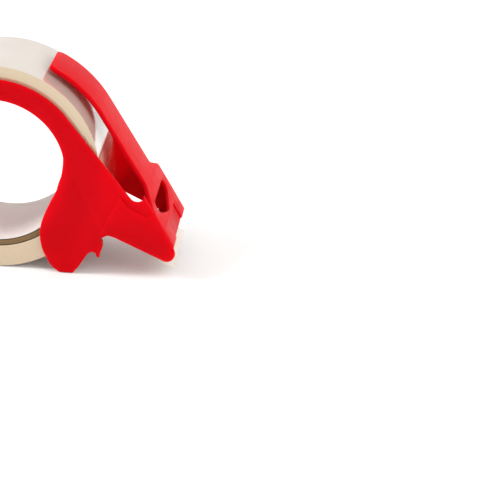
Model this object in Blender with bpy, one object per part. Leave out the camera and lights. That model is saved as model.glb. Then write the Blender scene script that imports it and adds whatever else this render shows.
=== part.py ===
"""Hand-held packing tape dispenser: two moulded side frames, a steel cutter and a free-spinning roll.

Sizes are in millimetres and become metres when a mesh is made.  Every piece is drawn in the tool's own
axes: the roll axis is the origin, x runs towards the nose, y from the near side to the far side, z up.
TOOL_PLACE then tips the tool by REST_TILT, so that the feet and the roll share the ground at z = 0.
"""
import math

import bmesh
import bpy
from mathutils import Matrix, Vector

MM = 0.001

# Roll: 48 mm tape on a 3-inch cardboard core
TAPE_WIDTH = 48.0
TAPE_OUTER_RADIUS = 52.0
CORE_INNER_RADIUS = 38.1
CORE_OUTER_RADIUS = 40.9
LINER_THICKNESS = 0.4
GAP = 0.3                        # between pieces that touch on the real tool
LEAD_THICKNESS = 0.3             # the free tape, thickened so that it is a solid

# Side frames
PLATE_INNER = 24.6               # |y| of the plates' inner faces
PLATE_THICKNESS = 1.7
PLATE_EDGE = 0.4                 # edge rounding
CHEEK_FACE = 27.45               # |y| of the raised cheek's outer face
HOOP_OUTER_RADIUS = 45.9
HOOP_INNER_RADIUS = 35.5
HOOP_TIP_ANGLE = 213.0           # where the open hoop ends, behind the roll
HUB_OUTER_RADIUS = 37.2
HUB_INNER_RADIUS = 35.3
HUB_DEPTH = 12.0                 # how far the hub rim reaches into the core
HUB_END_ANGLE = -38.0
ARM_ANGLE = 34.9                 # direction of the arm's upper edge normal
SLOT_END = (70.3, -12.4)         # centre of the rounded slot end
SLOT_END_RADIUS = 4.15
REST_TILT = math.radians(3.73)   # nose up, standing on feet and roll
FOOT_FROM = 34.0                 # the foot's flat, measured level from the roll axis
FOOT_TO = 39.6

# Guard band and nose
BAND_CENTRE = (0.9, -4.5)        # centre of the band's bend
BAND_RADIUS = 60.0               # outer surface of the bend
BAND_TIP_ANGLE = 62.4
BAND_SLOPE = 61.3                # downward slope of the straight band, degrees
BAND_HALF_WIDTH = 13.0
BAND_TIP_CORNER = 4.0
BAND_STRAIGHT = 39.5             # from the bend to the nose
GUARD_THICKNESS = 1.6
GUARD_LIP = 2.2                  # depth of the band's edges
NOSE_SLOPE = 63.2
NOSE_LENGTH = 33.3               # from the band to the front lip
NOSE_NEAR_EDGE = 27.3            # |y| of the guard's edge over the near cheek
NOSE_FAR_EDGE = 26.6
NOSE_CORNER = 2.6                # rounding of the nose's long edge
SKIRT_DEPTH = 5.0
NEAR_FLARE = (0.5, 15.0)         # along the guard, from the start of the nose
SKIRT_FLARE = (5.0, 13.0)        # where the near skirt gets deeper
FAR_EDGE = ((-1.0, 13.0), (0.0, 14.0), (4.9, 24.4), (5.8, 25.2), (17.6, 26.2))
TIP_CENTRE = (83.9, -43.7)
TIP_RADIUS = 4.0
SOLE_SLOPE = 27.0                # downward slope of the nose's underside, degrees
FAR_TIP_CENTRE = (80.4, -40.2)   # the far cheek is shallower and ends further back
FAR_TIP_RADIUS = 3.0
FAR_SOLE_SLOPE = 28.5

# Window and recess in the nose, measured along the guard from the start of the nose
WINDOW_START = 11.0
WINDOW_HALF_WIDTH = 17.1
WINDOW_CORNER = 2.6
WINDOW_POINT = ((14.8, 17.1), (16.4, 16.6), (17.6, 15.1), (19.0, 12.1), (22.2, 3.0), (22.8, 0.9))
RECESS_START = 24.1
RECESS_HALF_WIDTH = 13.3
RECESS_DEPTH = 0.8

# Pieces inside the nose
GUIDE_BAR = (55.0, -30.6)
GUIDE_BAR_RADIUS = 1.5
SPACER_PIN = (70.5, -29.5)
SPACER_PIN_RADIUS = 2.2
SOCKET_DEPTH = 1.2
BLADE_THICKNESS = 0.6
BLADE_LENGTH = 8.5
BLADE_REACH = 1.5                # past the front lip
TOOTH_PITCH = 2.0
TOOTH_HEIGHT = 1.4
BLADE_HALF_WIDTH = 24.0
PLATEN_THICKNESS = 3.2
PLATEN_FRONT = 82.3
PLATEN_LENGTH = 7.8
TAIL_END = (87.2, -51.9)         # the free end of the tape, hanging in front of the nose

RED = (0.72, 0.004, 0.012)


def unit(degrees):
    """Unit vector (x, z) at an angle measured from +x towards +z."""
    return Vector((math.cos(math.radians(degrees)), math.sin(math.radians(degrees))))


BAND_NORMAL = unit(90.0 - BAND_SLOPE)
BAND_DOWN = unit(-BAND_SLOPE)
NOSE_NORMAL = unit(90.0 - NOSE_SLOPE)
NOSE_DOWN = unit(-NOSE_SLOPE)
NEAR_TIP = (Vector(TIP_CENTRE), TIP_RADIUS, SOLE_SLOPE)
FAR_TIP = (Vector(FAR_TIP_CENTRE), FAR_TIP_RADIUS, FAR_SOLE_SLOPE)
BEND_END = Vector(BAND_CENTRE) + BAND_RADIUS * BAND_NORMAL
NOSE_START = BEND_END + BAND_STRAIGHT * BAND_DOWN
LIP = NOSE_START + NOSE_LENGTH * NOSE_DOWN
BEND_LENGTH = math.radians(BAND_TIP_ANGLE - (90.0 - BAND_SLOPE)) * BAND_RADIUS
GUARD_START = -BAND_STRAIGHT - BEND_LENGTH


# ---------------------------------------------------------------- outlines in the x-z plane

def arc(centre, radius, start, end, steps):
    """Points on an arc, from the start angle to the end angle in degrees."""
    turn = (end - start) / steps
    return [Vector(centre) + radius * unit(start + turn * i) for i in range(steps + 1)]


def curve_through(points, steps):
    """A smooth curve through points chosen by hand, without the two end points."""
    knots = [Vector(p) for p in points]
    curve = []
    for a, b, c, d in zip(knots, knots[1:], knots[2:], knots[3:]):
        for i in range(steps):
            t = i / steps
            curve.append(0.5 * (2 * b + (c - a) * t + (2 * a - 5 * b + 4 * c - d) * t ** 2
                                + (3 * b - a - 3 * c + d) * t ** 3))
    return curve


def level(x, z):
    """A point given level with the ground, from the roll axis, in the tool's tipped axes."""
    cos, sin = math.cos(REST_TILT), math.sin(REST_TILT)
    return Vector((x * cos + z * sin, z * cos - x * sin))


def guard_frame(s):
    """Point and outward normal of the guard's outer surface at a distance s past the start of the nose."""
    if s >= 0.0:
        return NOSE_START + s * NOSE_DOWN, NOSE_NORMAL
    if s >= -BAND_STRAIGHT:
        return NOSE_START + s * BAND_DOWN, BAND_NORMAL
    normal = unit(90.0 - BAND_SLOPE + math.degrees((-BAND_STRAIGHT - s) / BAND_RADIUS))
    return Vector(BAND_CENTRE) + BAND_RADIUS * normal, normal


def guard_point(s, depth):
    """A point below the guard's outer surface."""
    point, normal = guard_frame(s)
    return point - depth * normal


def sole_point(x, depth, nose_tip=NEAR_TIP):
    """A point on the nose's underside, or a depth inside it."""
    centre, radius, slope = nose_tip
    start = centre + (radius - depth) * unit(-90.0 - slope)
    forward = unit(-slope)
    return start + (x - start.x) / forward.x * forward


def hoop_outline():
    """Round the hoop: its tip, its outer edge and the straight upper edge of the arm."""
    middle = (HOOP_OUTER_RADIUS + HOOP_INNER_RADIUS) / 2
    width = HOOP_OUTER_RADIUS - HOOP_INNER_RADIUS
    tip = arc(middle * unit(HOOP_TIP_ANGLE), width / 2, HOOP_TIP_ANGLE + 180, HOOP_TIP_ANGLE + 20, 6)
    outer = arc((0, 0), HOOP_OUTER_RADIUS, HOOP_TIP_ANGLE, ARM_ANGLE, 34)
    return tip + outer


def slot_outline(turn):
    """The rounded end of the slot, from the arm's upper edge round to the underside of the guard."""
    return arc(SLOT_END, SLOT_END_RADIUS, ARM_ANGLE + 180, ARM_ANGLE + 180 + turn, 7)


def tip_outline(nose_tip, depth=0.0):
    """The blunt tip of the nose and its straight underside, or a depth inside them."""
    centre, radius, slope = nose_tip
    tip = arc(centre, radius - depth, 12, -90 - slope, 9)
    return tip + [sole_point(58.6, depth, nose_tip)]


def foot_outline(nose_tip):
    """The arch behind the nose, the tape guide's hook, the foot and the back edge up to the hoop."""
    arch_start = sole_point(58.6, 0.0, nose_tip)
    arch = curve_through([arch_start + Vector((1, -0.5)), sole_point(57.4, 0.0, nose_tip),
                          (55.2, -34.4), (53.4, -34.9), (51.8, -36.0),
                          (50.2, -37.2), (48.0, -38.0)], 2)
    hook = [Vector(p) for p in ((51.7, -37.9), (52.1, -39.5), (51.9, -41.2), (50.8, -43.4),
                                (50.4, -45.7), (49.7, -46.2), (49.0, -45.8), (48.3, -43.8))]
    heel = level(FOOT_TO, -TAPE_OUTER_RADIUS)
    toe = level(FOOT_FROM, -TAPE_OUTER_RADIUS)
    right = curve_through([(48.3, -43.8), (46.7, -43.1), (45.0, -43.9), (43.3, -45.8), (41.4, -48.6),
                           (39.7, -51.0), (38.0, -53.0), heel, heel + Vector((-3, 1.5))], 3)
    left = curve_through([toe + Vector((3, 1.5)), toe, (28.4, -53.0), (26.5, -51.2), (24.4, -47.6), (22.1, -42.0),
                          (21.2, -35.5), (21.9, -29.4), (24.1, -23.4), (27.3, -17.0), (30.5, -11.2),
                          (33.1, -4.5), (34.5, 2.5), (34.7, 7.6), (33.6, 11.5)], 3)
    return arch[:-1] + hook + right + [heel] + left


def side_outline(top, nose_tip):
    """The whole side plate, round from the open end of the hoop."""
    inner = arc((0, 0), HOOP_INNER_RADIUS, 16, HOOP_TIP_ANGLE - 3, 26)
    tip = tip_outline(nose_tip)
    return hoop_outline() + top + tip + foot_outline(nose_tip) + inner


def near_outline():
    """The near plate, which runs up inside the guard."""
    top = slot_outline(98) + [guard_point(3.4, 0.35), guard_point(NOSE_LENGTH - 0.1, 0.35)]
    return side_outline(top, NEAR_TIP)


def far_outline():
    """The far plate, whose upper edge runs straight along under the guard."""
    under_guard = GUARD_THICKNESS + 2 * GAP
    top = slot_outline(84) + [guard_point(5.8, under_guard), guard_point(NOSE_LENGTH - 3.6, under_guard)]
    return side_outline(top, FAR_TIP)


def cheek_outline(nose_tip):
    """The raised panel on the outside of the nose."""
    upper = [Vector((61.4, -13.6)), Vector((66.2, -19.4)), guard_point(13.0, SKIRT_DEPTH - 0.6),
             guard_point(NOSE_LENGTH - 5.0, SKIRT_DEPTH - 0.8)]
    tip = tip_outline(nose_tip, 0.15)
    arch = tip[-1] + Vector((-2.8, 1.0))
    return upper + tip + [arch, Vector((50.7, -32.6))]


# ---------------------------------------------------------------- meshes

def new_object(name, vertices, faces):
    """A mesh object in metres from millimetre vertices, with its faces turned outwards."""
    mesh = bpy.data.meshes.new(name)
    mesh.from_pydata([Vector(v) * MM for v in vertices], [], faces)
    shell = bmesh.new()
    shell.from_mesh(mesh)
    bmesh.ops.recalc_face_normals(shell, faces=shell.faces)
    shell.to_mesh(mesh)
    shell.free()
    piece = bpy.data.objects.new(name, mesh)
    bpy.context.scene.collection.objects.link(piece)
    return piece


def loft(name, rings):
    """A closed solid through rings of equal length, with flat ends."""
    count = len(rings[0])
    vertices = [point for ring in rings for point in ring]
    faces = []
    for r in range(len(rings) - 1):
        for i in range(count):
            j = (i + 1) % count
            faces.append((r * count + i, r * count + j, (r + 1) * count + j, (r + 1) * count + i))
    faces.append(tuple(range(count)))
    faces.append(tuple(range((len(rings) - 1) * count, len(rings) * count)))
    return new_object(name, vertices, faces)


def inset(outline, distance):
    """The outline moved inwards by a distance."""
    area = sum(a.x * b.y - b.x * a.y for a, b in zip(outline, outline[1:] + outline[:1]))
    inward = 1.0 if area > 0 else -1.0
    moved = []
    for before, here, after in zip(outline[-1:] + outline[:-1], outline, outline[1:] + outline[:1]):
        along = (after - before).normalized()
        moved.append(here + distance * inward * Vector((-along.y, along.x)))
    return moved


def plate(name, outline, y_low, y_high, edge_low, edge_high):
    """A flat plate with rounded edges: the outline, swept along y."""
    rounding = ((1.0, 0.0), (0.3, 0.3), (0.0, 1.0))
    levels = [(edge_low * r, y_low + edge_low * y) for r, y in rounding]
    levels += [(edge_high * r, y_high - edge_high * y) for r, y in reversed(rounding)]
    rings = [[(p.x, y, p.y) for p in inset(outline, distance)] for distance, y in levels]
    return loft(name, rings)


def side_slab(name, outline, side, face_in, face_out, edge):
    """A plate on the near (-1) or far (+1) side, between two distances from the middle."""
    low, high = sorted((side * face_in, side * face_out))
    return plate(name, outline, low, high, edge, edge)


def ring(name, section, steps):
    """A turned ring: a closed section of (radius, y) points round the roll axis."""
    count = len(section)
    vertices = []
    faces = []
    for i in range(steps):
        direction = unit(-90.0 + 360.0 * i / steps)
        vertices += [(r * direction.x, y, r * direction.y) for r, y in section]
        for k in range(count):
            here, there = i * count, (i + 1) % steps * count
            faces.append((here + k, here + (k + 1) % count, there + (k + 1) % count, there + k))
    return new_object(name, vertices, faces)


def rod(name, centre, radius, y_low, y_high, steps):
    """A round bar along y with chamfered ends."""
    outline = arc(centre, radius, 0, 360 - 360 / steps, steps - 1)
    return plate(name, outline, y_low, y_high, GAP, GAP)


def prism_on_nose(name, outline, depth_low, depth_high):
    """A straight prism through the nose surface; outline points are (distance along the nose, y)."""
    rings = []
    for depth in (depth_low, depth_high):
        corners = [(guard_point(s, depth), y) for s, y in outline]
        rings.append([(p.x, y, p.y) for p, y in corners])
    return loft(name, rings)


def combine(base, tools, operation):
    """Join tools to the base, or cut them out of it, and keep only the result."""
    for tool in tools:
        boolean = base.modifiers.new(operation, "BOOLEAN")
        boolean.operation = operation
        boolean.solver = "EXACT"
        boolean.object = tool
        graph = bpy.context.evaluated_depsgraph_get()
        mesh = bpy.data.meshes.new_from_object(base.evaluated_get(graph))
        base.modifiers.clear()
        base.data = mesh
        bpy.data.objects.remove(tool)
    return base


# ---------------------------------------------------------------- the guard band and nose top

def rise_between(s, span):
    """0 before the span and 1 after it, with level ends."""
    t = min(1.0, max(0.0, (s - span[0]) / (span[1] - span[0])))
    return t * t * (3.0 - 2.0 * t)


def tip_trim(s):
    """How much the band narrows at its rounded tip."""
    inside = min(BAND_TIP_CORNER, s - GUARD_START)
    return BAND_TIP_CORNER - math.sqrt(BAND_TIP_CORNER ** 2 - (BAND_TIP_CORNER - inside) ** 2)


def near_half_width(s):
    """Half-width of the guard towards the near side: an easy S from band to nose."""
    flare = rise_between(s, NEAR_FLARE)
    return BAND_HALF_WIDTH - tip_trim(s) + (NOSE_NEAR_EDGE - BAND_HALF_WIDTH) * flare


def far_half_width(s):
    """Half-width towards the far side: a squarer flare, then a long easy taper."""
    half = BAND_HALF_WIDTH
    for (start, low), (end, high) in zip(FAR_EDGE, FAR_EDGE[1:] + ((NOSE_LENGTH, NOSE_FAR_EDGE),)):
        half += (high - low) * min(1.0, max(0.0, (s - start) / (end - start)))
    return half - tip_trim(s)


def guard_section(s):
    """One closed section across the guard as (y, depth) points, near skirt to far edge and back."""
    near, far = near_half_width(s), far_half_width(s)
    flare = rise_between(s, NEAR_FLARE)
    skirt = GUARD_LIP + (SKIRT_DEPTH - GUARD_LIP) * rise_between(s, SKIRT_FLARE)
    corner = 0.7 + (NOSE_CORNER - 0.7) * flare
    far_lip = GUARD_LIP + (GUARD_THICKNESS + GAP - GUARD_LIP) * flare
    t = GUARD_THICKNESS
    near_round = [(-near + corner * (1 - u.x), corner * (1 - u.y)) for u in map(unit, (0, 30, 60, 90))]
    far_round = [(far - 0.7 * (1 - u.x), 0.7 * (1 - u.y)) for u in map(unit, (90, 45, 0))]
    outer = [(-near, skirt)] + near_round + far_round + [(far, far_lip)]
    inner = [(far - t, far_lip), (far - t - 0.3, t), (-near + t + 0.8, t), (-near + t, t + 0.8),
             (-near + t, skirt)]
    if skirt < t + 0.9:
        inner[3] = (-near + t + 0.1, t + 0.25)
    return outer + inner


def guard_stations():
    """Distances along the guard where a section is placed."""
    tip = [GUARD_START + BAND_TIP_CORNER * (1 - math.cos(math.radians(a))) for a in (8, 30, 50, 70, 90)]
    bend = [-BAND_STRAIGHT - BEND_LENGTH * i / 9 for i in range(8, -1, -1)]
    straight = [-26.0, -12.0]
    flare = [NEAR_FLARE[0] + 1.2 * i for i in range(1, 13)]
    corners = [s for s, half in FAR_EDGE]
    return tip + bend + straight + sorted(flare + corners) + [NOSE_LENGTH]


def make_guard():
    """The guard band over the roll and the top of the nose, as one swept solid."""
    rings = []
    for s in guard_stations():
        across = [(guard_point(s, depth), y) for y, depth in guard_section(s)]
        rings.append([(p.x, y, p.y) for p, y in across])
    return loft("guard", rings)


def window_outline():
    """The five-sided window with rounded corners, as (distance along the nose, y) points."""
    half = []
    for s, y in arc((WINDOW_START + WINDOW_CORNER, WINDOW_HALF_WIDTH - WINDOW_CORNER), WINDOW_CORNER,
                    180, 90, 3):
        half.append((s, y))
    half += WINDOW_POINT
    return half + [(s, -y) for s, y in reversed(half)]


def recess_outline():
    """The shallow step down in the middle of the front lip."""
    end = NOSE_LENGTH + 2.0
    return [(RECESS_START, -RECESS_HALF_WIDTH), (end, -RECESS_HALF_WIDTH),
            (end, RECESS_HALF_WIDTH), (RECESS_START, RECESS_HALF_WIDTH)]


# ---------------------------------------------------------------- pieces

def make_hub(side):
    """The rim inside the core that the roll turns on."""
    outline = arc((0, 0), HUB_OUTER_RADIUS, HUB_END_ANGLE, HOOP_TIP_ANGLE - 2, 42)
    outline += arc((0, 0), HUB_INNER_RADIUS, HOOP_TIP_ANGLE - 2, HUB_END_ANGLE, 42)
    return side_slab("hub", outline, side, PLATE_INNER - HUB_DEPTH, PLATE_INNER + 0.9, 0.4)


def make_hook(side):
    """The short finger that keeps the tape's edge against the guide bar."""
    outline = [Vector(p) for p in ((46.5, -36.6), (50.4, -37.2), (51.9, -38.3), (51.9, -41.0),
                                   (50.6, -43.4), (50.2, -45.4), (49.2, -45.4), (48.5, -43.4),
                                   (46.3, -41.8))]
    return side_slab("hook", outline, side, PLATE_INNER - 3.2, PLATE_INNER + 0.9, 0.2)


def make_sockets(side):
    """Blind holes that take the guide bar and the spacer pin."""
    sockets = []
    for centre, radius in ((GUIDE_BAR, GUIDE_BAR_RADIUS), (SPACER_PIN, SPACER_PIN_RADIUS)):
        low, high = sorted((side * (PLATE_INNER - 1.0), side * (PLATE_INNER + SOCKET_DEPTH)))
        sockets.append(rod("socket", centre, radius + GAP, low, high, 16))
    return sockets


def make_near_frame():
    """Near plate, hub, cheek and the guard, moulded in one."""
    frame = side_slab("near_side_frame", near_outline(), -1, PLATE_INNER,
                      PLATE_INNER + PLATE_THICKNESS, PLATE_EDGE)
    cheek = side_slab("cheek", cheek_outline(NEAR_TIP), -1, PLATE_INNER + 0.8, CHEEK_FACE, 0.7)
    combine(frame, [make_guard(), cheek, make_hub(-1), make_hook(-1)], "UNION")
    window = prism_on_nose("window", window_outline(), -3.0, 5.0)
    recess = prism_on_nose("recess", recess_outline(), -3.0, RECESS_DEPTH)
    return combine(frame, [window, recess] + make_sockets(-1), "DIFFERENCE")


def make_far_frame():
    """Far plate, hub and cheek, which close the other side of the tool."""
    frame = side_slab("far_side_frame", far_outline(), 1, PLATE_INNER,
                      PLATE_INNER + PLATE_THICKNESS, PLATE_EDGE)
    cheek = side_slab("cheek", cheek_outline(FAR_TIP), 1, PLATE_INNER + 0.8, CHEEK_FACE, 0.7)
    combine(frame, [cheek, make_hub(1), make_hook(1)], "UNION")
    return combine(frame, make_sockets(1), "DIFFERENCE")


def make_cross_bar(name, centre, radius):
    """A bar between the two side frames, seated in their blind holes."""
    reach = PLATE_INNER + SOCKET_DEPTH - GAP
    return rod(name, centre, radius, -reach, reach, 24)


def make_platen():
    """The pad under the nose that presses the tape down, with a rib that clamps the cutter."""
    front = PLATEN_FRONT
    back = front - PLATEN_LENGTH
    low, high = 0.5, 0.5 + PLATEN_THICKNESS
    clamp = NOSE_LENGTH - 4.6
    clamp_depth = GUARD_THICKNESS + BLADE_THICKNESS + 2 * GAP
    outline = [sole_point(back, low), sole_point(front - 0.8, low), sole_point(front, low + 0.7),
               sole_point(front - 0.2, high), guard_point(clamp + 1.6, clamp_depth),
               guard_point(clamp, clamp_depth), sole_point(front - 3.2, high + 0.4),
               sole_point(front - 3.8, high), sole_point(back, high)]
    half = PLATE_INNER - GAP
    return plate("nose_platen", outline, -half, half, 0.2, 0.2)


def make_blade():
    """The toothed steel strip under the front lip."""
    low = GUARD_THICKNESS + GAP
    tip = NOSE_LENGTH + BLADE_REACH
    teeth = round(2 * BLADE_HALF_WIDTH / TOOTH_PITCH)
    outline = [(tip - BLADE_LENGTH, BLADE_HALF_WIDTH), (tip - BLADE_LENGTH, -BLADE_HALF_WIDTH)]
    for i in range(teeth):
        y = -BLADE_HALF_WIDTH + TOOTH_PITCH * i
        outline.append((tip - TOOTH_HEIGHT, y))
        outline.append((tip, y + TOOTH_PITCH / 2))
    outline.append((tip - TOOTH_HEIGHT, BLADE_HALF_WIDTH))
    return prism_on_nose("cutter_blade", outline, low, low + BLADE_THICKNESS)


def lead_path():
    """Middle of the free tape: off the roll, round the guide bar and out under the nose."""
    roll_radius = TAPE_OUTER_RADIUS + GAP + LEAD_THICKNESS / 2
    bar_radius = GUIDE_BAR_RADIUS + GAP + LEAD_THICKNESS / 2
    bar = Vector(GUIDE_BAR)
    spread = math.degrees(math.acos((roll_radius + bar_radius) / bar.length))
    leave = math.degrees(math.atan2(bar.y, bar.x)) + spread
    off_roll = arc((0, 0), roll_radius, leave + 4, leave, 2)
    round_bar = arc(bar, bar_radius, leave + 180, 270 - SOLE_SLOPE, 5)
    under_nose = sole_point(PLATEN_FRONT - PLATEN_LENGTH / 2, -0.9)
    tail = curve_through([round_bar[-1], under_nose, sole_point(PLATEN_FRONT - 1.5, -1.6), TAIL_END,
                          TAIL_END], 3)
    return off_roll + round_bar + tail + [Vector(TAIL_END)]


def make_lead():
    """The free tape between the roll and the front of the nose."""
    path = lead_path()
    half = LEAD_THICKNESS / 2
    left, right = [], []
    for i, point in enumerate(path):
        along = (path[min(i + 1, len(path) - 1)] - path[max(i - 1, 0)]).normalized()
        side = Vector((-along.y, along.x))
        left.append(point + half * side)
        right.append(point - half * side)
    outline = left + right[::-1]
    rings = [[(p.x, y, p.y) for p in outline] for y in (-TAPE_WIDTH / 2, TAPE_WIDTH / 2)]
    return loft("tape_lead", rings)


def flat_ring(name, inner, outer, half_width, edge, steps):
    """A ring with a rectangular section and lightly chamfered rims."""
    section = [(inner, -half_width + edge), (inner + edge, -half_width), (outer - edge, -half_width),
               (outer, -half_width + edge), (outer, half_width - edge), (outer - edge, half_width),
               (inner + edge, half_width), (inner, half_width - edge)]
    return ring(name, section, steps)


def make_roll():
    """The wound tape, its cardboard core and the white paper inside the core."""
    half = TAPE_WIDTH / 2
    liner_outer = CORE_INNER_RADIUS - GAP / 2
    core = flat_ring("tape_core", CORE_INNER_RADIUS + GAP / 2, CORE_OUTER_RADIUS, half, 0.2, 60)
    liner = flat_ring("core_liner", liner_outer - LINER_THICKNESS, liner_outer, half - 0.3, 0.1, 60)
    winding = flat_ring("tape_winding", CORE_OUTER_RADIUS + GAP, TAPE_OUTER_RADIUS, half, 0.2, 80)
    return [winding, core, liner]


# ---------------------------------------------------------------- materials and placing

def material(name, color, roughness, metallic=0.0):
    """A plain Principled material."""
    made = bpy.data.materials.new(name)
    made.use_nodes = True
    shader = made.node_tree.nodes["Principled BSDF"]
    shader.inputs["Base Color"].default_value = (*color, 1.0)
    shader.inputs["Roughness"].default_value = roughness
    shader.inputs["Metallic"].default_value = metallic
    return made


def finish(piece, look, place):
    """Give a piece its material and shading, and put it in the world."""
    piece.data.materials.clear()
    piece.data.materials.append(look)
    piece.data.shade_smooth()
    piece.data.set_sharp_from_angle(angle=math.radians(35))
    piece.matrix_world = place


def nose_reach():
    """Level distance from the roll axis to the front of the nose."""
    centre = Vector(TIP_CENTRE)
    return centre.x * math.cos(REST_TILT) - centre.y * math.sin(REST_TILT) + TIP_RADIUS


def tool_place():
    """Where the roll axis stands: the tool's box is centred on the origin, on the ground."""
    x = (TAPE_OUTER_RADIUS - nose_reach()) / 2
    shift = Matrix.Translation(Vector((x, 0.0, TAPE_OUTER_RADIUS)) * MM)
    return shift @ Matrix.Rotation(-REST_TILT, 4, "Y")


def main():
    for old in list(bpy.data.objects):
        bpy.data.objects.remove(old)
    plastic = material("red_plastic", RED, 0.35)
    steel = material("cutter_steel", (0.62, 0.62, 0.62), 0.3, 1.0)
    film = material("clear_tape", (0.82, 0.70, 0.58), 0.2)
    card = material("core_card", (0.30, 0.20, 0.10), 0.9)
    paper = material("liner_paper", (0.80, 0.76, 0.74), 0.8)
    tool = tool_place()
    finish(make_near_frame(), plastic, tool)
    finish(make_far_frame(), plastic, tool)
    finish(make_cross_bar("tape_guide_bar", GUIDE_BAR, GUIDE_BAR_RADIUS), plastic, tool)
    finish(make_cross_bar("spacer_pin", SPACER_PIN, SPACER_PIN_RADIUS), plastic, tool)
    finish(make_platen(), plastic, tool)
    finish(make_blade(), steel, tool)
    finish(make_lead(), film, tool)
    level_axis = Matrix.Translation(tool.translation)
    for piece, look in zip(make_roll(), (film, card, paper)):
        finish(piece, look, level_axis)


main()
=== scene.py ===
"""Hand-held packing tape dispenser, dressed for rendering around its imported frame."""
import math

import bmesh
import bpy
from mathutils import Matrix, Vector


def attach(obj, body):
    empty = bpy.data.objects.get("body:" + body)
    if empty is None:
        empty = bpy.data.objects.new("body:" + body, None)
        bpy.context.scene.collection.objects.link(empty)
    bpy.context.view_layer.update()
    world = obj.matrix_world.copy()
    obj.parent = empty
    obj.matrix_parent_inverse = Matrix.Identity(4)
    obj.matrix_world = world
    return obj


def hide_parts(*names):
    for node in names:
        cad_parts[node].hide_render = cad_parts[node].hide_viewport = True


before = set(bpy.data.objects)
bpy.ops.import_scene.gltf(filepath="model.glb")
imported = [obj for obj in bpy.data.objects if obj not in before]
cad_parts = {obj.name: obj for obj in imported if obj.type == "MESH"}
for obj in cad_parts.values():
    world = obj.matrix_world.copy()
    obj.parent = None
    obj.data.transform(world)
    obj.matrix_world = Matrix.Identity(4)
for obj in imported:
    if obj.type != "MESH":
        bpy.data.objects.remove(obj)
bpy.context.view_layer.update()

MM = 0.001

# Roll: 48 mm tape on a 3-inch cardboard core
TAPE_WIDTH = 48.0
TAPE_OUTER_RADIUS = 52.0
CORE_INNER_RADIUS = 38.1
CORE_OUTER_RADIUS = 40.9
LINER_THICKNESS = 0.4
GAP = 0.3                        # between pieces that touch on the real tool
LEAD_THICKNESS = 0.3             # the free tape, thickened so that it is a solid

# Side frames
PLATE_INNER = 24.6               # |y| of the plates' inner faces
PLATE_THICKNESS = 1.7
PLATE_EDGE = 0.55                # edge rounding
PLATE_ROOT = 0.9                 # how deep the hub and the hook are joined into the plate
PLATE_TOP_DEPTH = 0.35           # of the near plate's upper edge, inside the guard
CHEEK_FACE = 27.45               # |y| of the raised cheek's outer face
CHEEK_RISE = 1.15                # how far the cheek's rounded side stands out
CHEEK_EDGE = 0.45
CHEEK_CHAMFER = 1.5              # width of the slope along the cheek's back edge
HOOP_OUTER_RADIUS = 45.9
HOOP_INNER_RADIUS = 35.5
HOOP_TIP_ANGLE = 213.0           # where the open hoop ends, behind the roll
HUB_OUTER_RADIUS = 37.2
HUB_INNER_RADIUS = 35.3
HUB_DEPTH = 12.0                 # how far the hub rim reaches into the core
HUB_END_ANGLE = -38.0
ARM_ANGLE = 34.9                 # direction of the arm's upper edge normal
SLOT_END = (70.3, -12.4)         # centre of the rounded slot end
SLOT_END_RADIUS = 4.15
REST_TILT = math.radians(3.73)   # nose up, standing on feet and roll
FOOT_FROM = 34.0                 # the foot's flat, measured level from the roll axis
FOOT_TO = 39.6

# Guard band and nose
BAND_CENTRE = (0.9, -4.5)        # centre of the band's bend
BAND_RADIUS = 60.0               # outer surface of the bend
BAND_TIP_ANGLE = 62.4
BAND_SLOPE = 61.3                # downward slope of the straight band, degrees
BAND_HALF_WIDTH = 13.0
BAND_TIP_CORNER = 4.0
BAND_STRAIGHT = 39.5             # from the bend to the nose
GUARD_THICKNESS = 1.6
GUARD_LIP = 2.2                  # depth of the band's edges
NOSE_SLOPE = 63.2
NOSE_LENGTH = 33.3               # from the band to the front lip
NOSE_NEAR_EDGE = 27.3            # |y| of the guard's edge over the near cheek
NOSE_FAR_EDGE = 26.6
GUARD_EDGE = 0.7                 # rounding of the band's long edges
NOSE_CORNER = 2.6                # rounding of the nose's long edge
SKIRT_DEPTH = 5.0
NEAR_FLARE = (0.5, 15.0)         # along the guard, from the start of the nose
SKIRT_FLARE = (5.0, 13.0)        # where the near skirt gets deeper
FAR_EDGE = ((-1.0, 13.0), (0.0, 14.0), (4.9, 24.4), (5.8, 25.2), (17.6, 26.2))
TIP_CENTRE = (83.9, -43.7)
TIP_RADIUS = 4.0
SOLE_SLOPE = 27.0                # downward slope of the nose's underside, degrees
SOLE_START = 58.6                # x where that straight underside starts, behind the nose
FAR_TIP_CENTRE = (80.4, -40.2)   # the far cheek is shallower and ends further back
FAR_TIP_RADIUS = 3.0
FAR_SOLE_SLOPE = 28.5

# Window and recess in the nose, measured along the guard from the start of the nose
WINDOW_START = 11.0
WINDOW_HALF_WIDTH = 17.1
WINDOW_CORNER = 2.6
WINDOW_POINT = ((14.8, 17.1), (16.4, 16.6), (17.6, 15.1), (19.0, 12.1), (22.2, 3.0), (22.8, 0.9))
RECESS_START = 24.1
RECESS_HALF_WIDTH = 13.3
RECESS_DEPTH = 0.8

# Pieces inside the nose
GUIDE_BAR = (55.0, -30.6)
GUIDE_BAR_RADIUS = 1.5
SPACER_PIN = (70.5, -29.5)
SPACER_PIN_RADIUS = 2.2
SOCKET_DEPTH = 1.2
BLADE_THICKNESS = 0.6
BLADE_LENGTH = 8.5
BLADE_REACH = 1.5                # past the front lip
TOOTH_PITCH = 2.0
TOOTH_HEIGHT = 1.4
BLADE_HALF_WIDTH = 24.0
PLATEN_THICKNESS = 3.2
PLATEN_FRONT = 82.3
PLATEN_LENGTH = 7.8
TAIL_END = (87.2, -51.9)         # the free end of the tape, hanging in front of the nose
TAIL_GLARE_SPAN = (80.0, 83.0)      # x where painted glare turns the free tape white
SEAM_PITCH = 95.0                # the liner's spiral seam, per turn

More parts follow.
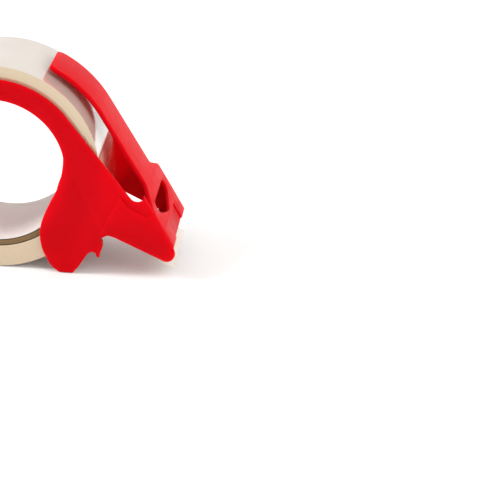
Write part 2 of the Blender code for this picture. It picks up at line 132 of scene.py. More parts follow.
SHARP_ANGLE = math.radians(40)   # edges sharper than this are bevelled and shaded sharp
SEAM_EDGE = 0.22                 # rounding of the edges that joins and cuts leave
WELD = 0.003                     # points closer than this are one point

# Where the roll axis stands over the frame's origin, and the floor under it
ROLL_AXIS = (-19.2826, 0.0, 52.0)
FLOOR_DROP = 0.3
FLOOR_REACH = 6000.0

# The camera, in the tool's axes from the roll axis
CAMERA_AT = (190.0, -901.9, 331.9)
CAMERA_TURN = (-4.562, 22.696, -0.979)
LENS = 146.1


def unit(degrees):
    """Unit vector (x, z) at an angle measured from +x towards +z."""
    return Vector((math.cos(math.radians(degrees)), math.sin(math.radians(degrees))))


BAND_NORMAL = unit(90.0 - BAND_SLOPE)
BAND_DOWN = unit(-BAND_SLOPE)
NOSE_NORMAL = unit(90.0 - NOSE_SLOPE)
NOSE_DOWN = unit(-NOSE_SLOPE)
NEAR_TIP = (Vector(TIP_CENTRE), TIP_RADIUS, SOLE_SLOPE)
FAR_TIP = (Vector(FAR_TIP_CENTRE), FAR_TIP_RADIUS, FAR_SOLE_SLOPE)
BEND_END = Vector(BAND_CENTRE) + BAND_RADIUS * BAND_NORMAL
NOSE_START = BEND_END + BAND_STRAIGHT * BAND_DOWN
BEND_LENGTH = math.radians(BAND_TIP_ANGLE - (90.0 - BAND_SLOPE)) * BAND_RADIUS
GUARD_START = -BAND_STRAIGHT - BEND_LENGTH


# ---------------------------------------------------------------- outlines in the x-z plane

def arc(centre, radius, start, end, steps):
    """Points on an arc, from the start angle to the end angle in degrees."""
    turn = (end - start) / steps
    return [Vector(centre) + radius * unit(start + turn * i) for i in range(steps + 1)]


def curve_through(points, steps):
    """A smooth curve through listed points, without the two end points."""
    knots = [Vector(p) for p in points]
    curve = []
    for a, b, c, d in zip(knots, knots[1:], knots[2:], knots[3:]):
        for i in range(steps):
            t = i / steps
            curve.append(0.5 * (2 * b + (c - a) * t + (2 * a - 5 * b + 4 * c - d) * t ** 2
                                + (3 * b - a - 3 * c + d) * t ** 3))
    return curve


def level(x, z):
    """A point given level with the ground, from the roll axis, in the tool's tipped axes."""
    cos, sin = math.cos(REST_TILT), math.sin(REST_TILT)
    return Vector((x * cos + z * sin, z * cos - x * sin))


def guard_frame(s):
    """Point and outward normal of the guard's outer surface, a distance s past the nose's start."""
    if s >= 0.0:
        return NOSE_START + s * NOSE_DOWN, NOSE_NORMAL
    if s >= -BAND_STRAIGHT:
        return NOSE_START + s * BAND_DOWN, BAND_NORMAL
    normal = unit(90.0 - BAND_SLOPE + math.degrees((-BAND_STRAIGHT - s) / BAND_RADIUS))
    return Vector(BAND_CENTRE) + BAND_RADIUS * normal, normal


def guard_point(s, depth):
    """A point below the guard's outer surface."""
    point, normal = guard_frame(s)
    return point - depth * normal


def sole_point(x, depth, nose_tip=NEAR_TIP):
    """A point on the nose's underside, or a depth inside it."""
    centre, radius, slope = nose_tip
    start = centre + (radius - depth) * unit(-90.0 - slope)
    forward = unit(-slope)
    return start + (x - start.x) / forward.x * forward


def hoop_outline():
    """Round the hoop: its tip, its outer edge and the straight upper edge of the arm."""
    middle = (HOOP_OUTER_RADIUS + HOOP_INNER_RADIUS) / 2
    width = HOOP_OUTER_RADIUS - HOOP_INNER_RADIUS
    tip = arc(middle * unit(HOOP_TIP_ANGLE), width / 2, HOOP_TIP_ANGLE + 180,
              HOOP_TIP_ANGLE + 20, 14)
    outer = arc((0, 0), HOOP_OUTER_RADIUS, HOOP_TIP_ANGLE, ARM_ANGLE, 96)
    return tip + outer


def slot_outline(turn):
    """The rounded end of the slot, from the arm's upper edge round to the underside of the guard."""
    return arc(SLOT_END, SLOT_END_RADIUS, ARM_ANGLE + 180, ARM_ANGLE + 180 + turn, 18)


def tip_outline(nose_tip, depth=0.0):
    """The blunt tip of the nose and its straight underside, or a depth inside them."""
    centre, radius, slope = nose_tip
    tip = arc(centre, radius - depth, 12, -90 - slope, 22)
    return tip + [sole_point(SOLE_START, depth, nose_tip)]


def foot_outline(nose_tip):
    """The arch behind the nose, the tape guide's hook, the foot and the back edge up to the hoop."""
    arch_start = sole_point(SOLE_START, 0.0, nose_tip)
    arch = curve_through([arch_start + Vector((1, -0.5)), sole_point(57.4, 0.0, nose_tip),
                          (55.2, -34.4), (53.4, -34.9), (51.8, -36.0),
                          (50.2, -37.2), (48.0, -38.0)], 5)
    hook = [Vector(p) for p in ((51.7, -37.9), (52.1, -39.5), (51.9, -41.2), (50.8, -43.4),
                                (50.4, -45.7), (49.7, -46.2), (49.0, -45.8), (48.3, -43.8))]
    heel = level(FOOT_TO, -TAPE_OUTER_RADIUS)
    toe = level(FOOT_FROM, -TAPE_OUTER_RADIUS)
    right = curve_through([(48.3, -43.8), (46.7, -43.1), (45.0, -43.9), (43.3, -45.8), (41.4, -48.6),
                           (39.7, -51.0), (38.0, -53.0), heel, heel + Vector((-3, 1.5))], 6)
    left = curve_through([toe + Vector((3, 1.5)), toe, (28.4, -53.0), (26.5, -51.2), (24.4, -47.6),
                          (22.1, -42.0), (21.2, -35.5), (21.9, -29.4), (24.1, -23.4), (27.3, -17.0),
                          (30.5, -11.2), (33.1, -4.5), (34.5, 2.5), (34.7, 7.6), (33.6, 11.5)], 7)
    return arch[:-1] + hook + right + [heel] + left


def side_outline(top, nose_tip):
    """The whole side plate, round from the open end of the hoop."""
    inner = arc((0, 0), HOOP_INNER_RADIUS, 16, HOOP_TIP_ANGLE - 3, 80)
    tip = tip_outline(nose_tip)
    return hoop_outline() + top + tip + foot_outline(nose_tip) + inner


def near_outline():
    """The near plate, which runs up inside the guard."""
    top = [guard_point(s, PLATE_TOP_DEPTH) for s in (3.4, NOSE_LENGTH - 0.1)]
    return side_outline(slot_outline(98) + top, NEAR_TIP)


def far_outline():
    """The far plate, whose upper edge runs straight along under the guard."""
    under_guard = GUARD_THICKNESS + 2 * GAP
    top = slot_outline(84) + [guard_point(5.8, under_guard), guard_point(NOSE_LENGTH - 3.6, under_guard)]
    return side_outline(top, FAR_TIP)


def cheek_outline(nose_tip):
    """The raised panel on the outside of the nose."""
    upper = [Vector((61.4, -13.6)), Vector((66.2, -19.4)), guard_point(13.0, SKIRT_DEPTH - 0.6),
             guard_point(NOSE_LENGTH - 5.0, SKIRT_DEPTH - 0.8)]
    tip = tip_outline(nose_tip, 0.15)
    arch = tip[-1] + Vector((-2.8, 1.0))
    return upper + tip + [arch, Vector((50.7, -32.6))]


# ---------------------------------------------------------------- meshes

def new_object(name, vertices, faces):
    """A mesh object in metres from millimetre vertices, with its faces turned outwards."""
    mesh = bpy.data.meshes.new(name)
    mesh.from_pydata([Vector(v) * MM for v in vertices], [], faces)
    shell = bmesh.new()
    shell.from_mesh(mesh)
    bmesh.ops.recalc_face_normals(shell, faces=shell.faces)
    shell.to_mesh(mesh)
    shell.free()
    piece = bpy.data.objects.new(name, mesh)
    bpy.context.scene.collection.objects.link(piece)
    return piece


def loft(name, rings):
    """A closed solid through rings of equal length, with flat ends."""
    count = len(rings[0])
    vertices = [point for ring in rings for point in ring]
    faces = []
    for r in range(len(rings) - 1):
        for i in range(count):
            j = (i + 1) % count
            faces.append((r * count + i, r * count + j, (r + 1) * count + j, (r + 1) * count + i))
    faces.append(tuple(range(count)))
    faces.append(tuple(range((len(rings) - 1) * count, len(rings) * count)))
    return new_object(name, vertices, faces)


def inset(outline, distance):
    """The outline moved inwards by a distance."""
    area = sum(a.x * b.y - b.x * a.y for a, b in zip(outline, outline[1:] + outline[:1]))
    inward = 1.0 if area > 0 else -1.0
    moved = []
    for before, here, after in zip(outline[-1:] + outline[:-1], outline, outline[1:] + outline[:1]):
        along = (after - before).normalized()
        moved.append(here + distance * inward * Vector((-along.y, along.x)))
    return moved


def plate(name, outline, y_low, y_high, edge):
    """A flat plate with rounded edges: the outline, swept along y."""
    rounding = [(1.0 - math.sin(math.radians(a)), 1.0 - math.cos(math.radians(a)))
                for a in (0, 22, 45, 68, 90)]
    levels = [(edge * r, y_low + edge * y) for r, y in rounding]
    levels += [(edge * r, y_high - edge * y) for r, y in reversed(rounding)]
    rings = [[(p.x, y, p.y) for p in inset(outline, distance)] for distance, y in levels]
    return loft(name, rings)


def side_slab(name, outline, side, face_in, face_out, edge):
    """A plate on the near (-1) or far (+1) side, between two distances from the middle."""
    low, high = sorted((side * face_in, side * face_out))
    return plate(name, outline, low, high, edge)


def ring(name, section, steps):
    """A turned ring: a closed section of (radius, y) points round the roll axis."""
    count = len(section)
    vertices = []
    faces = []
    for i in range(steps):
        direction = unit(-90.0 + 360.0 * i / steps)
        vertices += [(r * direction.x, y, r * direction.y) for r, y in section]
        for k in range(count):
            here, there = i * count, (i + 1) % steps * count
            faces.append((here + k, here + (k + 1) % count, there + (k + 1) % count, there + k))
    return new_object(name, vertices, faces)


def rod(name, centre, radius, y_low, y_high, steps):
    """A round bar along y with chamfered ends."""
    outline = arc(centre, radius, 0, 360 - 360 / steps, steps - 1)
    return plate(name, outline, y_low, y_high, GAP)


def prism_on_nose(name, outline, depth_low, depth_high):
    """A straight prism through the nose surface; outline points are (distance along the nose, y)."""
    rings = []
    for depth in (depth_low, depth_high):
        corners = [(guard_point(s, depth), y) for s, y in outline]
        rings.append([(p.x, y, p.y) for p, y in corners])
    return loft(name, rings)


def apply_modifiers(piece):
    """Keep the shape that the piece's modifiers give it, and drop them."""
    graph = bpy.context.evaluated_depsgraph_get()
    mesh = bpy.data.meshes.new_from_object(piece.evaluated_get(graph))
    piece.modifiers.clear()
    piece.data = mesh
    return piece


def combine(base, tools, operation):
    """Join tools to the base, or cut them out of it, and keep only the result."""
    for tool in tools:
        boolean = base.modifiers.new(operation, "BOOLEAN")
        boolean.operation = operation
        boolean.solver = "EXACT"
        boolean.object = tool
        apply_modifiers(base)
        bpy.data.objects.remove(tool)
    return base


def soften(piece):
    """Round the edges that the joins and cuts left sharp, once their doubled points are merged."""
    joined = bmesh.new()
    joined.from_mesh(piece.data)
    bmesh.ops.remove_doubles(joined, verts=joined.verts, dist=WELD * MM)
    bmesh.ops.dissolve_degenerate(joined, edges=joined.edges, dist=WELD * MM)
    joined.to_mesh(piece.data)
    joined.free()
    bevel = piece.modifiers.new("edges", "BEVEL")
    bevel.width = SEAM_EDGE * MM
    bevel.segments = 2
    bevel.limit_method = "ANGLE"
    bevel.angle_limit = SHARP_ANGLE
    bevel.use_clamp_overlap = True
    return apply_modifiers(piece)


# ---------------------------------------------------------------- the guard band and nose top

def rise_between(s, span):
    """0 before the span and 1 after it, with level ends."""
    t = min(1.0, max(0.0, (s - span[0]) / (span[1] - span[0])))
    return t * t * (3.0 - 2.0 * t)


def tip_trim(s):
    """How much the band narrows at its rounded tip."""
    inside = min(BAND_TIP_CORNER, s - GUARD_START)
    return BAND_TIP_CORNER - math.sqrt(BAND_TIP_CORNER ** 2 - (BAND_TIP_CORNER - inside) ** 2)


def near_half_width(s):
    """Half-width of the guard towards the near side: an easy S from band to nose."""
    flare = rise_between(s, NEAR_FLARE)
    return BAND_HALF_WIDTH - tip_trim(s) + (NOSE_NEAR_EDGE - BAND_HALF_WIDTH) * flare


def far_half_width(s):
    """Half-width towards the far side: a squarer flare, then a long easy taper."""
    half = BAND_HALF_WIDTH
    for (start, low), (end, high) in zip(FAR_EDGE, FAR_EDGE[1:] + ((NOSE_LENGTH, NOSE_FAR_EDGE),)):
        half += (high - low) * min(1.0, max(0.0, (s - start) / (end - start)))
    return half - tip_trim(s)


def guard_section(s):
    """One closed section across the guard as (y, depth) points, near skirt to far edge and back."""
    near, far = near_half_width(s), far_half_width(s)
    flare = rise_between(s, NEAR_FLARE)
    skirt = GUARD_LIP + (SKIRT_DEPTH - GUARD_LIP) * rise_between(s, SKIRT_FLARE)
    corner = GUARD_EDGE + (NOSE_CORNER - GUARD_EDGE) * flare
    far_lip = GUARD_LIP + (GUARD_THICKNESS + GAP - GUARD_LIP) * flare
    t = GUARD_THICKNESS
    near_round = [(-near + corner * (1 - u.x), corner * (1 - u.y))
                  for u in map(unit, (0, 15, 30, 45, 60, 75, 90))]
    far_round = [(far - GUARD_EDGE * (1 - u.x), GUARD_EDGE * (1 - u.y))
                 for u in map(unit, (90, 68, 45, 22, 0))]
    outer = [(-near, skirt)] + near_round + far_round + [(far, far_lip)]
    inner = [(far - t, far_lip), (far - t - 0.3, t), (-near + t + 0.8, t), (-near + t, t + 0.8),
             (-near + t, skirt)]
    if skirt < t + 0.9:
        inner[3] = (-near + t + 0.1, t + 0.25)
    return outer + inner


def guard_stations():
    """Distances along the guard where a section is placed."""
    tip = [GUARD_START + BAND_TIP_CORNER * (1 - math.cos(math.radians(a)))
           for a in (6, 14, 22, 32, 42, 52, 62, 72, 81, 90)]
    bend = [-BAND_STRAIGHT - BEND_LENGTH * i / 30 for i in range(26, -1, -1)]
    straight = [-32.0, -24.0, -16.0, -8.0]
    flare = [-1.5 + 0.4 * i for i in range(48)]
    return tip + bend + straight + flare + [20.0, 24.0, 28.0, NOSE_LENGTH]


def make_guard():
    """The guard band over the roll and the top of the nose, as one swept solid."""
    rings = []
    for s in guard_stations():
        across = [(guard_point(s, depth), y) for y, depth in guard_section(s)]
        rings.append([(p.x, y, p.y) for p, y in across])
    return loft("guard", rings)


def window_outline():
    """The five-sided window with rounded corners, as (distance along the nose, y) points."""
    corner = (WINDOW_START + WINDOW_CORNER, WINDOW_HALF_WIDTH - WINDOW_CORNER)
    half = [(s, y) for s, y in arc(corner, WINDOW_CORNER, 180, 90, 8)]
    half += WINDOW_POINT
    return half + [(s, -y) for s, y in reversed(half)]


def recess_outline():
    """The shallow step down in the middle of the front lip."""
    end = NOSE_LENGTH + 2.0
    return [(RECESS_START, -RECESS_HALF_WIDTH), (end, -RECESS_HALF_WIDTH),
            (end, RECESS_HALF_WIDTH), (RECESS_START, RECESS_HALF_WIDTH)]


# ---------------------------------------------------------------- pieces

def make_cheek(nose_tip, side):
    """The raised panel: softly rounded, with a wide chamfer along its back edge."""
    outline = cheek_outline(nose_tip)
    back = (outline[0] - outline[-1]).normalized()
    away = Vector((back.y, -back.x))
    rings = []
    for angle in (0, 25, 50, 70, 90):
        level_up, level_in = math.sin(math.radians(angle)), 1.0 - math.cos(math.radians(angle))
        points = inset(outline, CHEEK_EDGE * level_in)
        chamfer = (CHEEK_CHAMFER * level_up - CHEEK_EDGE * level_in) * away
        points[0] = points[0] + chamfer
        points[-1] = points[-1] + chamfer
        y = side * (CHEEK_FACE - CHEEK_RISE * (1.0 - level_up))
        rings.append([(p.x, y, p.y) for p in points])
    foot = side * (PLATE_INNER + 0.8)
    rings.insert(0, [(p.x, foot, p.y) for p in outline])
    return loft("cheek", rings)


def make_hub(side):
    """The rim inside the core that the roll turns on."""
    outline = arc((0, 0), HUB_OUTER_RADIUS, HUB_END_ANGLE, HOOP_TIP_ANGLE - 2, 110)
    outline += arc((0, 0), HUB_INNER_RADIUS, HOOP_TIP_ANGLE - 2, HUB_END_ANGLE, 110)
    return side_slab("hub", outline, side, PLATE_INNER - HUB_DEPTH, PLATE_INNER + PLATE_ROOT, 0.4)


def make_hook(side):
    """The short finger that keeps the tape's edge against the guide bar."""
    outline = [Vector(p) for p in ((46.5, -36.6), (50.4, -37.2), (51.9, -38.3), (51.9, -41.0),
                                   (50.6, -43.4), (50.2, -45.4), (49.2, -45.4), (48.5, -43.4),
                                   (46.3, -41.8))]
    return side_slab("hook", outline, side, PLATE_INNER - 3.2, PLATE_INNER + PLATE_ROOT, 0.2)


def make_sockets(side):
    """Blind holes that take the guide bar and the spacer pin."""
    sockets = []
    for centre, radius in ((GUIDE_BAR, GUIDE_BAR_RADIUS), (SPACER_PIN, SPACER_PIN_RADIUS)):
        low, high = sorted((side * (PLATE_INNER - 1.0), side * (PLATE_INNER + SOCKET_DEPTH)))
        sockets.append(rod("socket", centre, radius + GAP, low, high, 32))
    return sockets


def make_near_frame():
    """Near plate, hub, cheek and the guard, moulded in one."""
    half = side_slab("near_frame_moulding", near_outline(), -1, PLATE_INNER,
                     PLATE_INNER + PLATE_THICKNESS, PLATE_EDGE)
    combine(half, [make_guard(), make_cheek(NEAR_TIP, -1), make_hub(-1), make_hook(-1)], "UNION")
    window = prism_on_nose("window", window_outline(), -3.0, 5.0)
    recess = prism_on_nose("recess", recess_outline(), -3.0, RECESS_DEPTH)
    return soften(combine(half, [window, recess] + make_sockets(-1), "DIFFERENCE"))


def make_far_frame():
    """Far plate, hub and cheek, which close the other side of the tool."""
    half = side_slab("far_frame_moulding", far_outline(), 1, PLATE_INNER,
                     PLATE_INNER + PLATE_THICKNESS, PLATE_EDGE)
    combine(half, [make_cheek(FAR_TIP, 1), make_hub(1), make_hook(1)], "UNION")
    return soften(combine(half, make_sockets(1), "DIFFERENCE"))


def make_cross_bar(name, centre, radius):
    """A bar between the two side frames, seated in their blind holes."""
    reach = PLATE_INNER + SOCKET_DEPTH - GAP
    return rod(name, centre, radius, -reach, reach, 48)


def make_platen():
    """The pad under the nose that presses the tape down, with a rib that clamps the cutter."""
    front = PLATEN_FRONT
    back = front - PLATEN_LENGTH
    low, high = 0.5, 0.5 + PLATEN_THICKNESS
    clamp = NOSE_LENGTH - 4.6
    clamp_depth = GUARD_THICKNESS + BLADE_THICKNESS + 2 * GAP
    outline = [sole_point(back, low), sole_point(front - 0.8, low), sole_point(front, low + 0.7),
               sole_point(front - 0.2, high), guard_point(clamp + 1.6, clamp_depth),
               guard_point(clamp, clamp_depth), sole_point(front - 3.2, high + 0.4),
               sole_point(front - 3.8, high), sole_point(back, high)]
    half = PLATE_INNER - GAP
    return plate("platen_pad", outline, -half, half, 0.2)


def make_blade():
    """The toothed steel strip under the front lip."""
    low = GUARD_THICKNESS + GAP
    tip = NOSE_LENGTH + BLADE_REACH
    teeth = round(2 * BLADE_HALF_WIDTH / TOOTH_PITCH)
    outline = [(tip - BLADE_LENGTH, BLADE_HALF_WIDTH), (tip - BLADE_LENGTH, -BLADE_HALF_WIDTH)]
    for i in range(teeth):
        y = -BLADE_HALF_WIDTH + TOOTH_PITCH * i
        outline.append((tip - TOOTH_HEIGHT, y))
        outline.append((tip, y + TOOTH_PITCH / 2))
    outline.append((tip - TOOTH_HEIGHT, BLADE_HALF_WIDTH))
    return prism_on_nose("cutter_strip", outline, low, low + BLADE_THICKNESS)


def lead_path():
    """Middle of the free tape: off the roll, round the guide bar and out under the nose."""
    roll_radius = TAPE_OUTER_RADIUS + GAP + LEAD_THICKNESS / 2
    bar_radius = GUIDE_BAR_RADIUS + GAP + LEAD_THICKNESS / 2
    bar = Vector(GUIDE_BAR)
    spread = math.degrees(math.acos((roll_radius + bar_radius) / bar.length))
    leave = math.degrees(math.atan2(bar.y, bar.x)) + spread
    off_roll = arc((0, 0), roll_radius, leave + 4, leave, 2)
    round_bar = arc(bar, bar_radius, leave + 180, 270 - SOLE_SLOPE, 5)
    under_nose = sole_point(PLATEN_FRONT - PLATEN_LENGTH / 2, -0.9)
    tail = curve_through([round_bar[-1], under_nose, sole_point(PLATEN_FRONT - 1.5, -1.6), TAIL_END,
                          TAIL_END], 3)
    return off_roll + round_bar + tail + [Vector(TAIL_END)]


def make_lead():
    """The free tape between the roll and the front of the nose."""
    path = lead_path()
    half = LEAD_THICKNESS / 2
    left, right = [], []
    for i, point in enumerate(path):
        along = (path[min(i + 1, len(path) - 1)] - path[max(i - 1, 0)]).normalized()
        side = Vector((-along.y, along.x))
        left.append(point + half * side)
        right.append(point - half * side)
    outline = left + right[::-1]
    rings = [[(p.x, y, p.y) for p in outline] for y in (-TAPE_WIDTH / 2, TAPE_WIDTH / 2)]
    return loft("free_film", rings)


def wound_section():
    """Section of the wound film: its side faces show a few turns that stand very slightly proud."""
    half = TAPE_WIDTH / 2
    turns = 26
    step = (TAPE_OUTER_RADIUS - CORE_OUTER_RADIUS - GAP) / turns
    radii = [CORE_OUTER_RADIUS + GAP + step * i for i in range(turns + 1)]
    proud = [0.05 * math.sin(i * 2.4) ** 2 for i in range(turns + 1)]
    low = [(r, -half + 0.07 - p) for r, p in zip(radii, proud)]
    low[-1] = (TAPE_OUTER_RADIUS - 0.15, -half + 0.03)
    low.append((TAPE_OUTER_RADIUS, -half + 0.2))
    return low + [(r, -y) for r, y in reversed(low)]


def band_ring(name, inner, outer, half_width, edge, steps):
    """A turned band with rounded rims."""
    corner = [(1.0 - math.sin(math.radians(a)), 1.0 - math.cos(math.radians(a))) for a in (0, 30, 60, 90)]
    low = [(inner + edge * a, -half_width + edge * b) for b, a in reversed(corner)]
    low += [(outer - edge * a, -half_width + edge * b) for b, a in corner]
    return ring(name, low + [(r, -y) for r, y in reversed(low)], steps)


def make_roll():
    """The wound film, its card core and the white paper inside the core."""
    half = TAPE_WIDTH / 2
    liner_outer = CORE_INNER_RADIUS - GAP / 2
    winding = ring("wound_film", wound_section(), 240)
    core = band_ring("card_core", CORE_INNER_RADIUS + GAP / 2, CORE_OUTER_RADIUS, half, 0.35, 200)
    liner = band_ring("paper_liner", liner_outer - LINER_THICKNESS, liner_outer, half - 0.3, 0.12, 200)
    return winding, core, liner


# ---------------------------------------------------------------- materials

class Look:
    """A material being built: short names for its nodes and links."""

    def __init__(self, name):
        self.material = bpy.data.materials.new(name)
        self.material.use_nodes = True
        self.tree = self.material.node_tree
        self.shader = self.tree.nodes["Principled BSDF"]
        self.place = self.node("ShaderNodeTexCoord").outputs["Object"]

    def node(self, kind, **settings):
        made = self.tree.nodes.new(kind)
        for key, value in settings.items():
            setattr(made, key, value)
        return made

    def link(self, source, target):
        self.tree.links.new(source, target)

    def set(self, **values):
        """Set the shader's own sockets, given with underscores for spaces."""
        for key, value in values.items():
            self.shader.inputs[key.replace("_", " ")].default_value = value

    def stretched(self, scale):
        """Object coordinates, scaled differently along x, y and z."""
        mapping = self.node("ShaderNodeMapping")
        mapping.inputs["Scale"].default_value = scale
        self.link(self.place, mapping.inputs["Vector"])
        return mapping.outputs["Vector"]

    def noise(self, scale, detail=3.0, roughness=0.5, place=None):
        """Noise between 0 and 1; the scale is in features per metre."""
        made = self.node("ShaderNodeTexNoise")
        made.inputs["Scale"].default_value = scale
        made.inputs["Detail"].default_value = detail
        made.inputs["Roughness"].default_value = roughness
        self.link(place or self.place, made.inputs["Vector"])
        return made.outputs["Fac"]

    def math(self, operation, first, second=0.0):
        made = self.node("ShaderNodeMath", operation=operation)
        for socket, value in zip(made.inputs, (first, second)):
            if isinstance(value, (int, float)):
                socket.default_value = value
            else:
                self.link(value, socket)
        return made.outputs["Value"]

    def ramp(self, factor, stops):
        """A colour ramp; each stop is (position, colour or grey)."""
        made = self.node("ShaderNodeValToRGB")
        points = made.color_ramp.elements
        while len(points) < len(stops):
            points.new(0.5)
        for point, (position, colour) in zip(points, stops):
            point.position = position
            point.color = (*(colour if isinstance(colour, tuple) else (colour,) * 3), 1.0)
        self.link(factor, made.inputs["Fac"])
        return made.outputs["Color"]

    def mix(self, factor, first, second):
        """Colours or grey values blended by a factor."""
        made = self.node("ShaderNodeMix", data_type="RGBA")
        for socket, value in zip((made.inputs[0], made.inputs[6], made.inputs[7]), (factor, first, second)):
            if isinstance(value, tuple):
                socket.default_value = (*value, 1.0)
            elif isinstance(value, float):
                socket.default_value = value
            else:
                self.link(value, socket)
        return made.outputs[2]

    def colour(self, source):
        self.link(source, self.shader.inputs["Base Color"])

    def rough(self, source, low, high):
        """Roughness from a 0 to 1 pattern."""
        self.link(self.ramp(source, ((0.3, low), (0.7, high))), self.shader.inputs["Roughness"])

    def bump(self, height, depth_mm):
        made = self.node("ShaderNodeBump")
        made.inputs["Strength"].default_value = 1.0
        made.inputs["Distance"].default_value = depth_mm * MM
        self.link(height, made.inputs["Height"])
        self.link(made.outputs["Normal"], self.shader.inputs["Normal"])

    def axes(self):
        """The object's own x, y and z, in metres."""
        split = self.node("ShaderNodeSeparateXYZ")
        self.link(self.place, split.inputs["Vector"])
        return split.outputs["X"], split.outputs["Y"], split.outputs["Z"]

    def radius(self):
        """Distance from the roll axis, in millimetres."""
        x, _, z = self.axes()
        squares = self.math("ADD", self.math("MULTIPLY", x, x), self.math("MULTIPLY", z, z))
        return self.math("MULTIPLY", self.math("SQRT", squares), 1000.0)


def red_plastic():
    """Moulded red plastic: satin, faintly mottled, with fine grain and handling marks."""
    look = Look("red_plastic_moulded")
    mottle = look.noise(70.0, 4.0)
    look.colour(look.ramp(mottle, ((0.25, (0.48, 0.0002, 0.0035)), (0.75, (0.54, 0.0004, 0.0050)))))
    marks = look.noise(1.0, 5.0, 0.6, look.stretched((420.0, 420.0, 60.0)))
    look.rough(marks, 0.40, 0.56)
    grain = look.noise(2600.0, 2.0)
    look.bump(look.math("ADD", grain, look.math("MULTIPLY", marks, 1.5)), 0.02)
    look.set(Specular_IOR_Level=0.04, Sheen_Weight=0.11, Sheen_Roughness=0.3,
             Subsurface_Weight=0.75, Subsurface_Scale=0.008, Subsurface_Radius=(1.0, 0.08, 0.10))
    return look.material


def cutter_steel():
    """Bright stamped steel with the grain of the rolled strip."""
    look = Look("cutter_steel_strip")
    grain = look.noise(1.0, 4.0, 0.6, look.stretched((3000.0, 90.0, 3000.0)))
    look.colour(look.ramp(grain, ((0.3, (0.50, 0.50, 0.51)), (0.7, (0.66, 0.66, 0.65)))))
    look.rough(grain, 0.22, 0.38)
    look.bump(grain, 0.01)
    look.set(Metallic=1.0)
    return look.material


def wound_film():
    """Clear film wound on itself: milky, warm and glossy, with tan sides ringed by its turns; their tan is
    partly the film's own and partly painted shade.
    """
    look = Look("wound_clear_film")
    radius = look.radius()
    cloud = look.noise(45.0, 3.0)
    outside = look.ramp(cloud, ((0.3, (0.52, 0.455, 0.395)), (0.7, (0.58, 0.51, 0.445))))
    turns = look.math("FRACT", look.math("MULTIPLY", radius, 1.7))
    # The sides' tan is partly the film's own colour, partly painted shade and a painted reflection of brown
    # card below.
    rings = look.ramp(turns, ((0.0, (0.45, 0.35, 0.23)), (0.25, (0.56, 0.45, 0.31)),
                              (0.8, (0.54, 0.43, 0.29)), (1.0, (0.45, 0.35, 0.23))))
    on_side = look.math("LESS_THAN", radius, TAPE_OUTER_RADIUS - 0.1)
    look.colour(look.mix(on_side, outside, rings))
    look.rough(look.noise(300.0, 3.0), 0.10, 0.16)
    look.bump(look.noise(140.0, 2.0), 0.02)
    look.set(Metallic=0.3, Coat_Weight=0.8, Coat_Roughness=0.05)
    return look.material


def free_film():
    """A single layer of clear film: hazy along one edge, coloured with a painted red cast of the frame
    behind it, and whiter where its free end curls, which is painted glare.
    """
    look = Look("single_clear_film")
    along, side, _ = look.axes()
    wrinkle = look.noise(1.0, 3.0, 0.5, look.stretched((90.0, 260.0, 90.0)))
    # Painted red cast: the film's colour stands in for the red frame seen through the clear film.
    warm = look.ramp(wrinkle, ((0.3, (0.84, 0.36, 0.25)), (0.7, (0.92, 0.44, 0.32))))
    across = look.math("DIVIDE", look.math("ADD", side, TAPE_WIDTH / 2 * MM), TAPE_WIDTH * MM)
    haze = look.ramp(across, ((0.0, 0.38), (0.35, 0.16), (0.8, 0.03)))
    # Painted glare: the free end is the same film, drawn whiter and more opaque where glare lies on it.
    tail = look.ramp(look.math("MULTIPLY", along, 10.0),
                     ((TAIL_GLARE_SPAN[0] / 100.0, 0.0), (TAIL_GLARE_SPAN[1] / 100.0, 1.0)))
    look.colour(look.mix(tail, warm, (0.80, 0.74, 0.64)))
    look.link(look.math("MAXIMUM", haze, look.math("MULTIPLY", tail, 0.4)), look.shader.inputs["Alpha"])
    look.rough(wrinkle, 0.22, 0.34)
    look.bump(wrinkle, 0.02)
    look.set(Specular_IOR_Level=0.1)
    return look.material


def core_card():
    """Brown card wound from plies, with a darker glue line on its ends and painted shade along their inner
    and outer edges.
    """
    look = Look("core_brown_card")
    radius = look.radius()
    span = CORE_OUTER_RADIUS - CORE_INNER_RADIUS
    depth = look.math("DIVIDE", look.math("SUBTRACT", radius, CORE_INNER_RADIUS), span)
    # Dark at 0 and 1: painted shade where the core's end meets the liner and the film; dark at 0.55: a glue
    # line between plies.
    plies = look.ramp(depth, ((0.0, (0.07, 0.035, 0.012)), (0.22, (0.18, 0.10, 0.035)),
                              (0.42, (0.25, 0.15, 0.055)), (0.55, (0.08, 0.045, 0.016)),
                              (0.7, (0.24, 0.14, 0.05)), (1.0, (0.08, 0.045, 0.018))))
    fibre = look.noise(1800.0, 5.0, 0.7)
    look.colour(look.mix(look.ramp(fibre, ((0.35, 0.0), (0.75, 0.35))), plies, (0.34, 0.25, 0.15)))
    look.rough(fibre, 0.8, 0.95)
    look.bump(fibre, 0.06)
    return look.material


def liner_paper():
    """White paper on the inside of the core, with its spiral seam."""
    look = Look("liner_white_paper")
    x, across, z = look.axes()
    turn = look.math("DIVIDE", look.math("ARCTAN2", z, x), 2 * math.pi)
    spiral = look.math("FRACT", look.math("ADD", turn, look.math("MULTIPLY", across, 1000.0 / SEAM_PITCH)))
    seam = look.ramp(spiral, ((0.0, 1.0), (0.006, 0.0), (0.994, 0.0), (1.0, 1.0)))
    fibre = look.noise(900.0, 5.0, 0.65)
    paper = look.ramp(fibre, ((0.3, (0.64, 0.61, 0.58)), (0.7, (0.72, 0.69, 0.66))))
    look.colour(look.mix(look.math("MULTIPLY", seam, 0.45), paper, (0.42, 0.37, 0.33)))
    look.rough(fibre, 0.75, 0.9)
    look.bump(look.math("SUBTRACT", fibre, look.math("MULTIPLY", seam, 2.0)), 0.04)
    return look.material


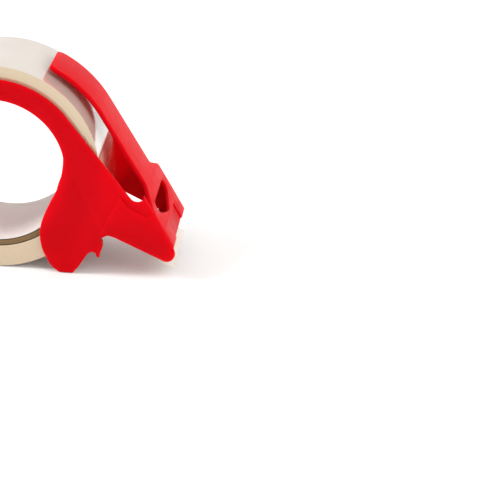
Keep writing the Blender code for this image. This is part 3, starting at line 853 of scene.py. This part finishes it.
def pale_floor():
    look = Look("studio_floor")
    tone = look.noise(3.0, 3.0)
    look.colour(look.ramp(tone, ((0.3, (0.80, 0.80, 0.79)), (0.7, (0.83, 0.83, 0.82)))))
    look.rough(look.noise(40.0), 0.75, 0.85)
    return look.material


# ---------------------------------------------------------------- placing

def tool_place():
    """The tool's own axes: the roll axis where it stands, tipped nose up."""
    return Matrix.Translation(Vector(ROLL_AXIS) * MM) @ Matrix.Rotation(-REST_TILT, 4, "Y")


def dress(piece, look, place, body, node):
    """Give a piece its look and place, and let it stand for its CAD node."""
    piece.data.materials.clear()
    piece.data.materials.append(look)
    piece.data.transform(place.to_3x3().to_4x4())
    piece.data.shade_smooth()
    piece.data.set_sharp_from_angle(angle=SHARP_ANGLE)
    piece.matrix_world = Matrix.Translation(place.translation)
    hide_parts(node)
    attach(piece, body)


def make_camera():
    """The main view: from the near side and above, on the nose end."""
    data = bpy.data.cameras.new("view")
    data.sensor_width = 36.0
    data.lens = LENS
    data.clip_start = 0.01
    data.clip_end = 20.0
    camera = bpy.data.objects.new("view", data)
    yaw, pitch, roll = (math.radians(a) for a in CAMERA_TURN)
    camera.matrix_world = (tool_place() @ Matrix.Translation(Vector(CAMERA_AT) * MM)
                           @ Matrix.Rotation(-yaw, 4, "Z") @ Matrix.Rotation(math.pi / 2 - pitch, 4, "X")
                           @ Matrix.Rotation(roll, 4, "Z"))
    bpy.context.scene.collection.objects.link(camera)
    bpy.context.scene.camera = camera


def make_floor():
    corners = [(x * FLOOR_REACH, y * FLOOR_REACH, -FLOOR_DROP)
               for x, y in ((-1, -1), (1, -1), (1, 1), (-1, 1))]
    floor = new_object("studio_ground", corners, [(0, 1, 2, 3)])
    floor.data.materials.append(pale_floor())


def area_light(name, place, aim, size, power):
    data = bpy.data.lights.new(name, "AREA")
    data.shape = "DISK"
    data.size = size
    data.energy = power
    light = bpy.data.objects.new(name, data)
    light.visible_glossy = False
    light.location = place
    light.rotation_euler = (Vector(aim) - Vector(place)).to_track_quat("-Z", "Y").to_euler()
    bpy.context.scene.collection.objects.link(light)


def make_light():
    """A white room and three soft lights that leave no highlights of their own."""
    scene = bpy.context.scene
    world = bpy.data.worlds.new("studio")
    world.use_nodes = True
    world.node_tree.nodes["Background"].inputs["Color"].default_value = (1.0, 1.0, 1.0, 1.0)
    world.node_tree.nodes["Background"].inputs["Strength"].default_value = 1.0
    scene.world = world
    scene.view_settings.view_transform = "Standard"
    aim = (0.0, 0.0, 0.05)
    area_light("left_softbox", (-0.95, -0.25, 0.8), aim, 0.5, 11.0)
    area_light("right_softbox", (0.9, -0.4, 0.6), aim, 0.8, 6.0)
    area_light("rear_softbox", (0.55, 1.3, 0.25), aim, 1.0, 5.0)


def main():
    make_camera()
    plastic = red_plastic()
    tool = tool_place()
    red_pieces = ((make_near_frame(), "near_side_frame"),
                  (make_far_frame(), "far_side_frame"),
                  (make_cross_bar("guide_bar_rod", GUIDE_BAR, GUIDE_BAR_RADIUS), "tape_guide_bar"),
                  (make_cross_bar("spacer_pin_rod", SPACER_PIN, SPACER_PIN_RADIUS), "spacer_pin"),
                  (make_platen(), "nose_platen"))
    for piece, node in red_pieces:
        dress(piece, plastic, tool, "frame", node)
    dress(make_blade(), cutter_steel(), tool, "frame", "cutter_blade")
    dress(make_lead(), free_film(), tool, "frame", "tape_lead")
    winding, core, liner = make_roll()
    roll = Matrix.Translation(tool.translation)
    dress(winding, wound_film(), roll, "roll", "tape_winding")
    dress(core, core_card(), roll, "roll", "tape_core")
    dress(liner, liner_paper(), roll, "roll", "core_liner")
    make_floor()
    make_light()


main()
bpy.context.view_layer.update()
